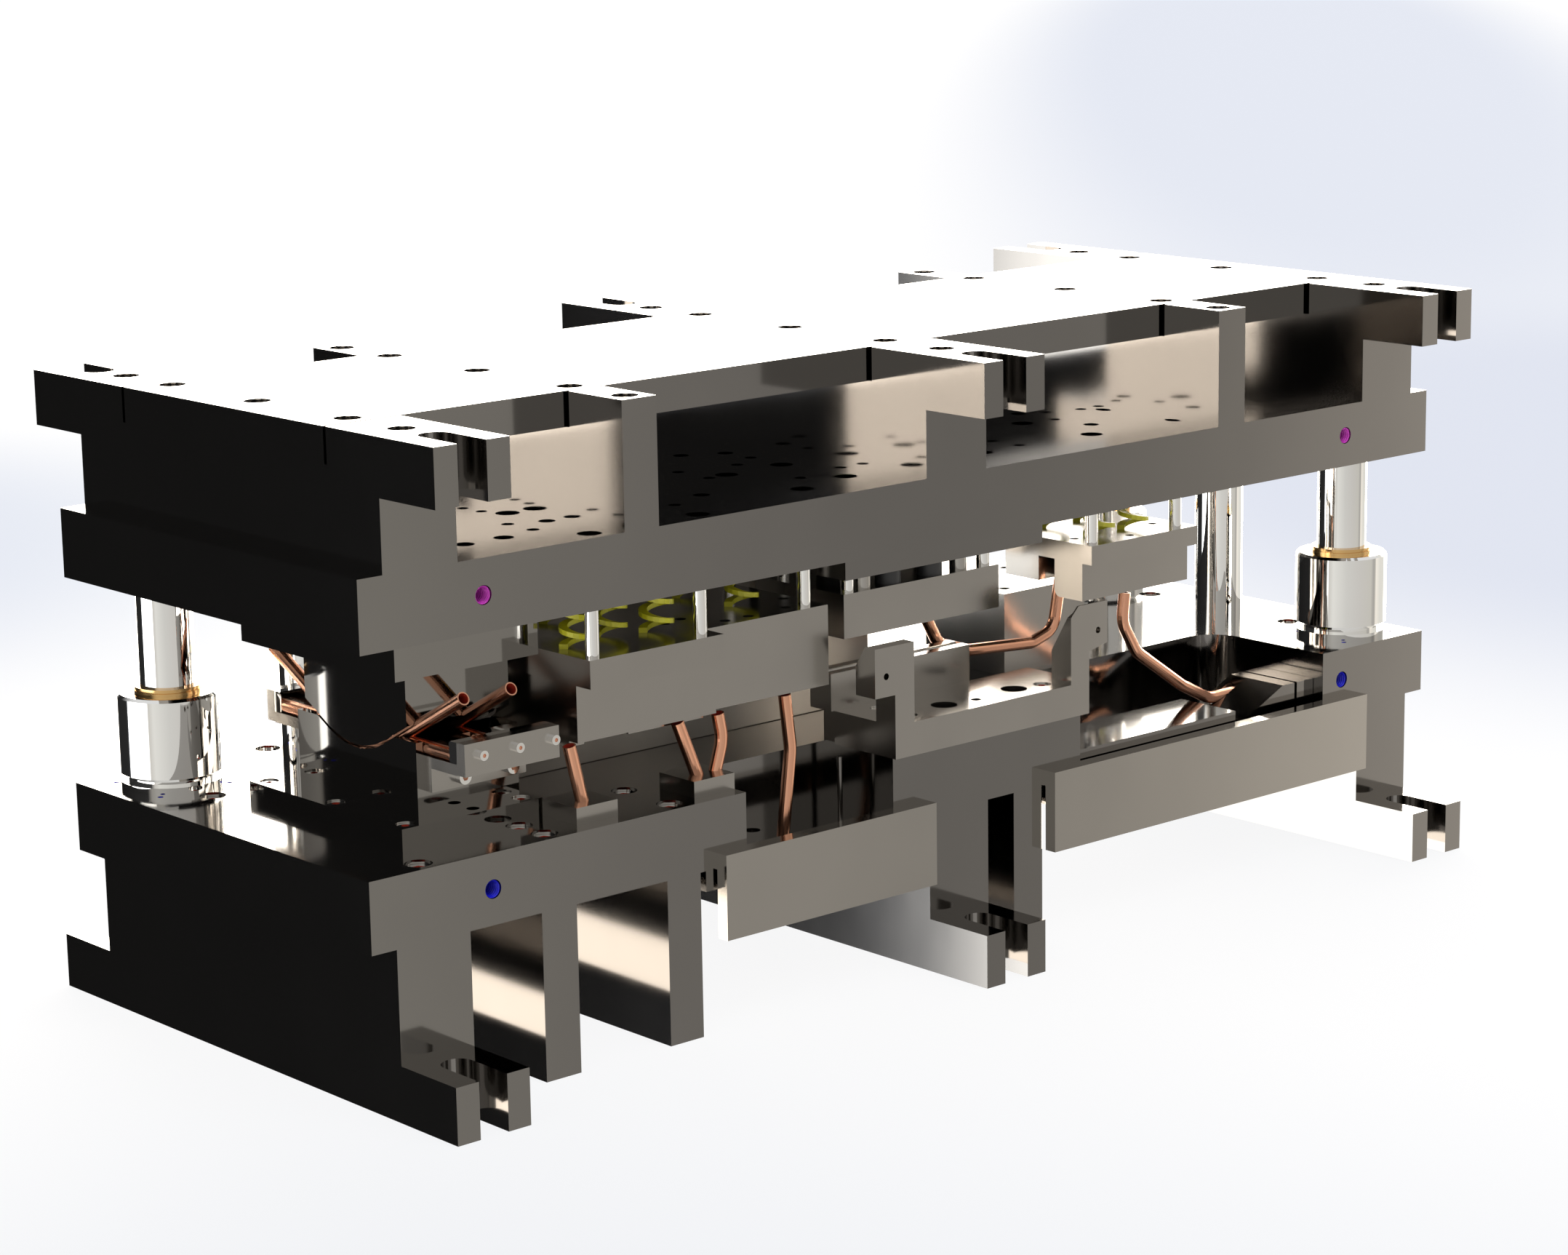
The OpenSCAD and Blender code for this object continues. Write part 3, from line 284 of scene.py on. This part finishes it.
def dress_nodes(frame, mats):
    for name, obj in frame["nodes"].items():
        obj.data.materials.clear()
        obj.data.materials.append(mats[finish_of(name)])
        if name in SOCKETED:
            finish, reach = SOCKETED[name]
            mark_hollows(obj, mats[finish], reach)
        # Painted shade on the copper tubes' inner faces
        if name in FINISHES["copper"]:
            mark_hollows(obj, mats["bore_shade"], BORE_REACH)


def place_camera():
    """Camera with the photo's azimuth, pitch, roll and lens."""
    forward = Vector((math.sin(AZIMUTH) * math.cos(PITCH), math.cos(AZIMUTH) * math.cos(PITCH),
                      -math.sin(PITCH)))
    level = Vector((math.cos(AZIMUTH), -math.sin(AZIMUTH), 0))
    down = forward.cross(level)
    right = math.cos(ROLL) * level + math.sin(ROLL) * down
    up = math.sin(ROLL) * level - math.cos(ROLL) * down
    data = bpy.data.cameras.new("camera")
    data.sensor_width = SENSOR_MM
    data.lens = FOCAL_PX / PHOTO_W * SENSOR_MM
    data.clip_end = 200
    cam = bpy.data.objects.new("camera", data)
    bpy.context.scene.collection.objects.link(cam)
    turn = Matrix((right, up, -forward)).transposed().to_4x4()
    cam.matrix_world = Matrix.Translation(CAMERA_AT) @ turn
    bpy.context.scene.camera = cam


def make_world():
    """Pale to the eye; metal sees two tall bright panels, a dark one and grey walls."""
    world = bpy.data.worlds.new("studio")
    bpy.context.scene.world = world
    world.use_nodes = True
    tree = world.node_tree
    tree.nodes.clear()
    out = tree.nodes.new("ShaderNodeOutputWorld")
    back = tree.nodes.new("ShaderNodeBackground")
    tree.links.new(back.outputs[0], out.inputs[0])
    coord = tree.nodes.new("ShaderNodeTexCoord")
    split = tree.nodes.new("ShaderNodeSeparateXYZ")
    tree.links.new(coord.outputs["Generated"], split.inputs[0])

    def tone(red, green, blue):
        return (red, green, blue, 1)

    def ramp(value, stops):
        node = tree.nodes.new("ShaderNodeValToRGB")
        node.color_ramp.interpolation = "LINEAR"
        first = node.color_ramp.elements
        while len(first) > 1:
            first.remove(first[-1])
        first[0].position = stops[0][0]
        first[0].color = stops[0][1]
        for place, color in stops[1:]:
            first.new(place).color = color
        tree.links.new(value, node.inputs[0])
        return node.outputs[0]

    # Share of each compass direction: around the horizon, 0 at -X, counted through -Y to +X
    x, y, z = split.outputs[0], split.outputs[1], split.outputs[2]
    angle = tree.nodes.new("ShaderNodeMath")
    angle.operation = "ARCTAN2"
    tree.links.new(y, angle.inputs[0])
    tree.links.new(x, angle.inputs[1])
    turn = tree.nodes.new("ShaderNodeMapRange")
    turn.inputs["From Min"].default_value = -math.pi
    turn.inputs["From Max"].default_value = math.pi
    tree.links.new(angle.outputs[0], turn.inputs["Value"])
    grey = [
        (0.026, tone(0.62, 0.6, 0.56)),
        (0.06, tone(0.78, 0.77, 0.73)),
        (0.156, tone(0.64, 0.63, 0.6)),
        (0.25, tone(0.6, 0.58, 0.55)),
        (0.345, tone(0.58, 0.56, 0.51)),
        (0.36, tone(0.46, 0.44, 0.41)),
        (0.372, tone(0.4, 0.385, 0.36)),
        (0.382, tone(0.49, 0.465, 0.425)),
        (0.394, tone(0.95, 0.89, 0.8)),
        (0.444, tone(0.78, 0.76, 0.7)),
        (0.5, tone(0.8, 0.78, 0.72)),
        (0.522, PANEL),
        (0.7, PANEL),
        (0.73, tone(0.2, 0.2, 0.2)),
        (0.75, tone(0.02, 0.02, 0.02)),
    ]
    below = ramp(turn.outputs[0], [
        (0.0, SIDE_PANEL),
        (0.014, SIDE_PANEL),
    ] + grey + [
        (0.856, tone(0.022, 0.022, 0.022)),
        (0.869, tone(0.07, 0.072, 0.078)),
        (0.8712, tone(0.5, 0.53, 0.58)),
        (0.874, SIDE_PANEL),
        (1.0, SIDE_PANEL),
    ])
    above = ramp(turn.outputs[0], [
        (0.0, tone(0.05, 0.05, 0.05)),
    ] + grey + [
        (1.0, tone(0.05, 0.05, 0.05)),
    ])

    def step(low, high):
        node = tree.nodes.new("ShaderNodeMapRange")
        node.interpolation_type = "SMOOTHSTEP"
        node.inputs["From Min"].default_value = low
        node.inputs["From Max"].default_value = high
        tree.links.new(z, node.inputs["Value"])
        return node.outputs[0]

    def blend(share, first, second):
        node = tree.nodes.new("ShaderNodeMix")
        node.data_type = "RGBA"
        tree.links.new(share, node.inputs[0])
        for socket, value in ((node.inputs[6], first), (node.inputs[7], second)):
            if isinstance(value, tuple):
                socket.default_value = value
            else:
                tree.links.new(value, socket)
        return node.outputs[2]

    walls = blend(step(-0.06, 0.06), below, above)
    walls = blend(step(0.4, 0.75), walls, tone(0.75, 0.75, 0.75))
    walls = blend(step(-0.75, -0.45), tone(1.1, 1.05, 0.98), walls)

    paths = tree.nodes.new("ShaderNodeLightPath")
    eye = tree.nodes.new("ShaderNodeMix")
    eye.data_type = "RGBA"
    eye.inputs[7].default_value = CAMERA_VIEW
    tree.links.new(paths.outputs["Is Camera Ray"], eye.inputs[0])
    tree.links.new(walls, eye.inputs[6])
    tree.links.new(eye.outputs[2], back.inputs["Color"])


def soft_spot(tree, at, turn, size, below, color):
    """A wide soft tone on the floor, mixed over the tone below it."""
    coord = tree.nodes.new("ShaderNodeTexCoord")
    mapping = tree.nodes.new("ShaderNodeMapping")
    mapping.vector_type = "TEXTURE"
    mapping.inputs["Location"].default_value = (at[0], at[1], 0)
    mapping.inputs["Rotation"].default_value = (0, 0, math.radians(turn))
    mapping.inputs["Scale"].default_value = (size[0], size[1], 1)
    tree.links.new(coord.outputs["Object"], mapping.inputs["Vector"])
    ball = tree.nodes.new("ShaderNodeTexGradient")
    ball.gradient_type = "SPHERICAL"
    tree.links.new(mapping.outputs["Vector"], ball.inputs["Vector"])
    share = tree.nodes.new("ShaderNodeMapRange")
    share.interpolation_type = "SMOOTHSTEP"
    share.inputs["From Max"].default_value = SPOT_EDGE
    tree.links.new(ball.outputs["Fac"], share.inputs["Value"])
    mix = tree.nodes.new("ShaderNodeMix")
    mix.data_type = "RGBA"
    tree.links.new(share.outputs[0], mix.inputs[0])
    if isinstance(below, tuple):
        mix.inputs[6].default_value = below
    else:
        tree.links.new(below, mix.inputs[6])
    mix.inputs[7].default_value = color
    return mix.outputs[2]


def make_floor():
    """Pale floor with the die's faint shadow and soft bluish tones; polished faces don't see it."""
    mesh = bpy.data.meshes.new("floor")
    half = FLOOR_HALF
    corners = [(-half, -half, 0), (half, -half, 0), (half, half, 0), (-half, half, 0)]
    mesh.from_pydata(corners, [], [(0, 1, 2, 3)])
    floor = bpy.data.objects.new("floor", mesh)
    bpy.context.scene.collection.objects.link(floor)
    mat, tree, shader = new_material("floor")
    shader.inputs["Base Color"].default_value = (0.8, 0.8, 0.8, 1)
    shader.inputs["Roughness"].default_value = 0.9
    tone = FLOOR_TONE
    for at, turn, size, color in FLOOR_SPOTS:
        tone = soft_spot(tree, at, turn, size, tone, color)
    glow = tree.nodes.new("ShaderNodeEmission")
    glow.inputs["Strength"].default_value = 1.0
    tree.links.new(tone, glow.inputs["Color"])
    paths = tree.nodes.new("ShaderNodeLightPath")
    mix = tree.nodes.new("ShaderNodeMixShader")
    share = tree.nodes.new("ShaderNodeMath")
    share.operation = "MULTIPLY"
    share.inputs[1].default_value = FLOOR_GLOW_SHARE
    out = next(n for n in tree.nodes if n.type == "OUTPUT_MATERIAL")
    tree.links.new(paths.outputs["Is Camera Ray"], share.inputs[0])
    tree.links.new(share.outputs[0], mix.inputs[0])
    tree.links.new(shader.outputs[0], mix.inputs[1])
    tree.links.new(glow.outputs[0], mix.inputs[2])
    tree.links.new(mix.outputs[0], out.inputs["Surface"])
    mesh.materials.append(mat)
    floor.visible_glossy = False


def add_lamp(name, size, energy, at):
    data = bpy.data.lights.new(name, "AREA")
    data.shape = "SQUARE"
    data.size = size
    data.energy = energy
    lamp = bpy.data.objects.new(name, data)
    lamp.location = at
    lamp.rotation_euler = (Vector(AIM) - Vector(at)).to_track_quat("-Z", "Y").to_euler()
    lamp.visible_glossy = False
    bpy.context.scene.collection.objects.link(lamp)


def make_lamps():
    add_lamp("key", 2.5, 60, (0.5, -3.0, 3.2))
    add_lamp("fill", 3.0, 25, (-3.5, -1.0, 2.0))


def thread_mesh(name, radius, depth, pitch, height):
    """A threaded hole's wall: a tube whose radius rises and falls along a helix."""
    rings = int(depth / pitch * RINGS_PER_TURN)
    around = THREAD_SIDES
    mesh = bpy.data.meshes.new(name)
    bm = bmesh.new()
    rows = []
    for i in range(rings + 1):
        row = []
        for k in range(around):
            a = 2 * math.pi * k / around
            along = depth * i / rings
            wave = abs(((along / pitch + k / around) % 1.0) * 2 - 1)
            r = radius - height * wave
            row.append(bm.verts.new((r * math.cos(a), r * math.sin(a), along)))
        rows.append(row)
    for i in range(rings):
        for k in range(around):
            n = (k + 1) % around
            bm.faces.new((rows[i][k], rows[i + 1][k], rows[i + 1][n], rows[i][n]))
    bm.to_mesh(mesh)
    bm.free()
    return mesh


def add_piece(name, mesh, body, mat, smooth=True):
    obj = bpy.data.objects.new(name, mesh)
    bpy.context.scene.collection.objects.link(obj)
    mesh.materials.append(mat)
    for face in mesh.polygons:
        face.use_smooth = smooth
    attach(obj, body)


def add_lift_threads(mats):
    """Coloured threads in the shoes' lifting holes."""
    shoes = (("lower_shoe", "lower_die", "blue"), ("upper_shoe", "upper_die", "magenta"))
    for node, body, color in shoes:
        low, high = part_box(node)
        z = (low.z + high.z) / 2
        for x in (-LIFT_X, LIFT_X):
            for side, y in ((1, low.y), (-1, high.y)):
                mesh = thread_mesh("thread", LIFT_R - THREAD_GAP, LIFT_DEEP - LIFT_SHORT,
                                   LIFT_PITCH, LIFT_HEIGHT)
                place = Matrix.Translation((x, y + side * LIFT_SUNK, z))
                mesh.transform(place @ Matrix.Rotation(-side * math.pi / 2, 4, "X"))
                label = "left" if x < 0 else "right"
                where = "front" if side > 0 else "rear"
                add_piece(f"thread_{node}_{label}_{where}", mesh, body, mats[color])


def block_mesh(name, boxes):
    """Ground blocks with fine chamfered edges, several in one mesh."""
    mesh = bpy.data.meshes.new(name)
    bm = bmesh.new()
    for low, high in boxes:
        place = Matrix.Translation((Vector(low) + Vector(high)) / 2)
        size = Matrix.Diagonal((high[0] - low[0], high[1] - low[1], high[2] - low[2], 1))
        bmesh.ops.create_cube(bm, size=1.0, matrix=place @ size)
    bmesh.ops.bevel(bm, geom=list(bm.edges), offset=BLOCK_EDGE, segments=2, affect="EDGES",
                    profile=0.5)
    bm.to_mesh(mesh)
    bm.free()
    return mesh


def add_rear_blocks(mats):
    """Blocks behind the left and middle pads, which close the view between the shoes."""
    pad_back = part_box("left_pad_slab")[1].y
    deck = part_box("lower_shoe")[1].z
    spacer_low, spacer_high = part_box("center_spacer")
    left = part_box("bend_base_plate")[1].x + REAR_LEFT_GAP
    front = pad_back + REAR_GAP
    back = pad_back + REAR_DEEP
    top = deck + REAR_LOWER_HIGH
    foot = deck + REAR_UPPER_FROM
    lower = [((left, front, deck), (spacer_low.x + REAR_LOWER_PAST, back, top))]
    upper = [
        ((left, front, foot), (spacer_low.x - REAR_GAP, back, spacer_high.z)),
        ((spacer_low.x - REAR_SPLIT, spacer_high.y + REAR_GAP, foot),
         (spacer_high.x, back, spacer_high.z)),
    ]
    for name, boxes, body in (("rear_lower_block", lower, "lower_die"),
                              ("rear_upper_block", upper, "upper_die")):
        add_piece(name, block_mesh(name, boxes), body, mats["satin"], smooth=False)


def add_bush_threads(frame, mats):
    """Small coloured threads of the tapped holes round the guide bushes."""
    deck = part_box("lower_shoe")[1].z
    posts = [v.co for v in frame["nodes"]["guide_posts"].data.vertices]
    mesh = bpy.data.meshes.new("bush_threads")
    bm = bmesh.new()
    for side_x, side_y in POST_SIDES:
        near = [v for v in posts if v.x * side_x > 0 and v.y * side_y > 0]
        axis_x = (min(v.x for v in near) + max(v.x for v in near)) / 2
        axis_y = (min(v.y for v in near) + max(v.y for v in near)) / 2
        for dx in (-BUSH_HOLE_AT, BUSH_HOLE_AT):
            for dy in (-BUSH_HOLE_AT, BUSH_HOLE_AT):
                part = thread_mesh("part", BUSH_THREAD_R, BUSH_THREAD_DEEP, BUSH_THREAD_PITCH,
                                   BUSH_THREAD_HEIGHT)
                place = Matrix.Translation((axis_x + dx, axis_y + dy, deck - THREAD_GAP))
                part.transform(place @ Matrix.Rotation(math.pi, 4, "X"))
                bm.from_mesh(part)
                bpy.data.meshes.remove(part)
    bm.to_mesh(mesh)
    bm.free()
    add_piece("bush_threads", mesh, "lower_die", mats["blue"])


def main():
    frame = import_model()
    bpy.context.scene.view_settings.view_transform = "Standard"
    mats = make_materials()
    dress_nodes(frame, mats)
    add_lift_threads(mats)
    add_bush_threads(frame, mats)
    add_rear_blocks(mats)
    make_world()
    make_floor()
    make_lamps()
    place_camera()


main()
